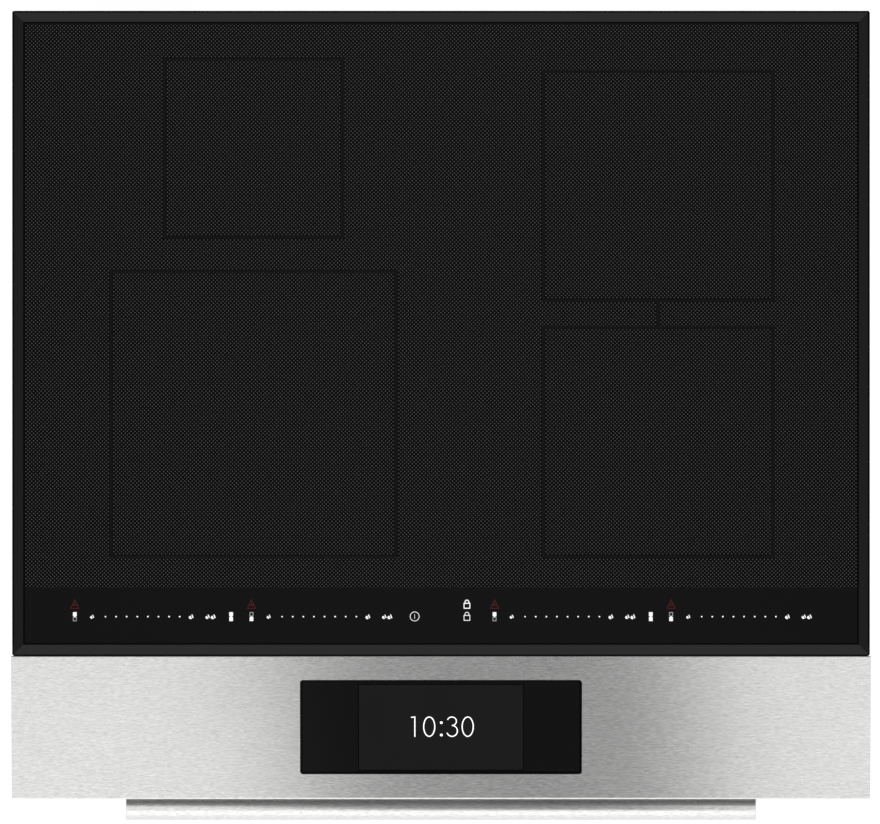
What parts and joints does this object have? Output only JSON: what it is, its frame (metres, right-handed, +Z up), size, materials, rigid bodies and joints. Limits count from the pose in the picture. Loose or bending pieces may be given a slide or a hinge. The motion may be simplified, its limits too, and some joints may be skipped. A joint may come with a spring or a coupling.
{
  "type": "induction cooktop",
  "caption": "Wide slide-in induction cooktop with a bevelled black glass top, a sloping brushed steel fascia with an inset display, and a front bar rail.",
  "frame": {"origin": "under the centre of the plan, at the underside of the base pan", "axes": "+X to the right as the cook stands, +Y to the back of the worktop, +Z up out of the glass"},
  "size_m": [0.759, 0.7154, 0.13],
  "materials": {
    "black_glass": "polished black glass ceramic with a fine printed dot pattern",
    "display_glass": "smoked display glass",
    "stainless": "stainless steel, brushed lengthways",
    "stainless_satin": "satin cast stainless steel",
    "zinc_steel": "galvanised steel sheet",
    "dark_enamel": "black powder coat",
    "foam_seal": "closed-cell foam",
    "black_plastic": "glass-filled nylon",
    "white_plastic": "heat-resistant plastic",
    "circuit_board": "solder-masked circuit board",
    "component": "moulded component bodies",
    "screw_steel": "zinc-plated steel",
    "spring_steel": "bright spring wire",
    "aluminium_sheet": "mill aluminium",
    "ferrite": "sintered ferrite",
    "mica": "mica sheet",
    "copper": "enamelled copper litz",
    "lead_rubber": "silicone sleeved leads"
  },
  "bodies": {
    "chassis": {"base_pan": "zinc_steel", "cable_gland": "black_plastic", "chassis_screws": "screw_steel", "coil_carrier_front_left": "black_plastic", "coil_carrier_front_right": "black_plastic", "coil_carrier_rear_left": "black_plastic", "coil_carrier_rear_right": "black_plastic", "coil_deck": "aluminium_sheet", "coil_winding_front_left": "copper", "coil_winding_front_right": "copper", "coil_winding_rear_left": "copper", "coil_winding_rear_right": "copper", "cover_hinge": "screw_steel", "display_bracket": "black_plastic", "display_control_board": "circuit_board", "display_glass": "display_glass", "display_module": "black_plastic", "fan_housing_left": "black_plastic", "fan_housing_right": "black_plastic", "fascia_panel": "stainless", "ferrite_bars": "ferrite", "filter_board": "circuit_board", "front_apron": "dark_enamel", "front_rail": "stainless", "glass_ceramic_top": "black_glass", "glass_support_strips": "zinc_steel", "heatsink_left": "aluminium_sheet", "heatsink_right": "aluminium_sheet", "inverter_board_left": "circuit_board", "inverter_board_right": "circuit_board", "mica_sheets": "mica", "power_components_left": "component", "power_components_right": "component", "rail_bracket_left": "stainless_satin", "rail_bracket_right": "stainless_satin", "rail_end_caps": "stainless", "rear_panel": "zinc_steel", "rear_vent_grille": "dark_enamel", "sensor_spring_front_left": "spring_steel", "sensor_spring_front_right": "spring_steel", "sensor_spring_rear_left": "spring_steel", "sensor_spring_rear_right": "spring_steel", "side_panel_left": "zinc_steel", "side_panel_right": "zinc_steel", "terminal_block": "white_plastic", "touch_board": "circuit_board", "touch_light_guide": "white_plastic", "wiring_harness": "lead_rubber", "worktop_seal": "foam_seal"},
    "fan_left": {"fan_rotor_left": "black_plastic"},
    "fan_right": {"fan_rotor_right": "black_plastic"},
    "sensor_rear_left": {"sensor_plunger_rear_left": "white_plastic"},
    "sensor_front_left": {"sensor_plunger_front_left": "white_plastic"},
    "sensor_rear_right": {"sensor_plunger_rear_right": "white_plastic"},
    "sensor_front_right": {"sensor_plunger_front_right": "white_plastic"},
    "cover": {"terminal_cover": "dark_enamel"},
    "clamp_left_front": {"clamp_left_front": "screw_steel"},
    "clamp_left_rear": {"clamp_left_rear": "screw_steel"},
    "clamp_right_front": {"clamp_right_front": "screw_steel"},
    "clamp_right_rear": {"clamp_right_rear": "screw_steel"}
  },
  "joints": [
    {"name": "fan_spin_left", "type": "hinge", "parent": "chassis", "child": "fan_left", "pos_m": [-0.15, 0.262, 0.0149], "axis": [0, 0, 1], "continuous": true},
    {"name": "fan_spin_right", "type": "hinge", "parent": "chassis", "child": "fan_right", "pos_m": [0.15, 0.262, 0.0149], "axis": [0, 0, 1], "continuous": true},
    {"name": "sensor_press_rear_left", "type": "slide", "parent": "chassis", "child": "sensor_rear_left", "axis": [0, 0, -1], "range_m": [0, 0.003], "stiffness_N_per_m": 150, "springref_m": -0.004, "deforming": ["sensor_spring_rear_left"]},
    {"name": "sensor_press_front_left", "type": "slide", "parent": "chassis", "child": "sensor_front_left", "axis": [0, 0, -1], "range_m": [0, 0.003], "stiffness_N_per_m": 150, "springref_m": -0.004, "deforming": ["sensor_spring_front_left"]},
    {"name": "sensor_press_rear_right", "type": "slide", "parent": "chassis", "child": "sensor_rear_right", "axis": [0, 0, -1], "range_m": [0, 0.003], "stiffness_N_per_m": 150, "springref_m": -0.004, "deforming": ["sensor_spring_rear_right"]},
    {"name": "sensor_press_front_right", "type": "slide", "parent": "chassis", "child": "sensor_front_right", "axis": [0, 0, -1], "range_m": [0, 0.003], "stiffness_N_per_m": 150, "springref_m": -0.004, "deforming": ["sensor_spring_front_right"]},
    {"name": "cover_hinge", "type": "hinge", "parent": "chassis", "child": "cover", "pos_m": [-0.28, 0.3483, 0.062], "axis": [1, 0, 0], "range_deg": [0, 110]},
    {"name": "clamp_swing_left_front", "type": "hinge", "parent": "chassis", "child": "clamp_left_front", "pos_m": [-0.353, -0.15, 0.0518], "axis": [0, 0, 1], "range_deg": [0, 90]},
    {"name": "clamp_swing_left_rear", "type": "hinge", "parent": "chassis", "child": "clamp_left_rear", "pos_m": [-0.353, 0.21, 0.0518], "axis": [0, 0, 1], "range_deg": [0, 90]},
    {"name": "clamp_swing_right_front", "type": "hinge", "parent": "chassis", "child": "clamp_right_front", "pos_m": [0.353, -0.15, 0.0518], "axis": [0, 0, -1], "range_deg": [0, 90]},
    {"name": "clamp_swing_right_rear", "type": "hinge", "parent": "chassis", "child": "clamp_right_rear", "pos_m": [0.353, 0.21, 0.0518], "axis": [0, 0, -1], "range_deg": [0, 90]}
  ]
}
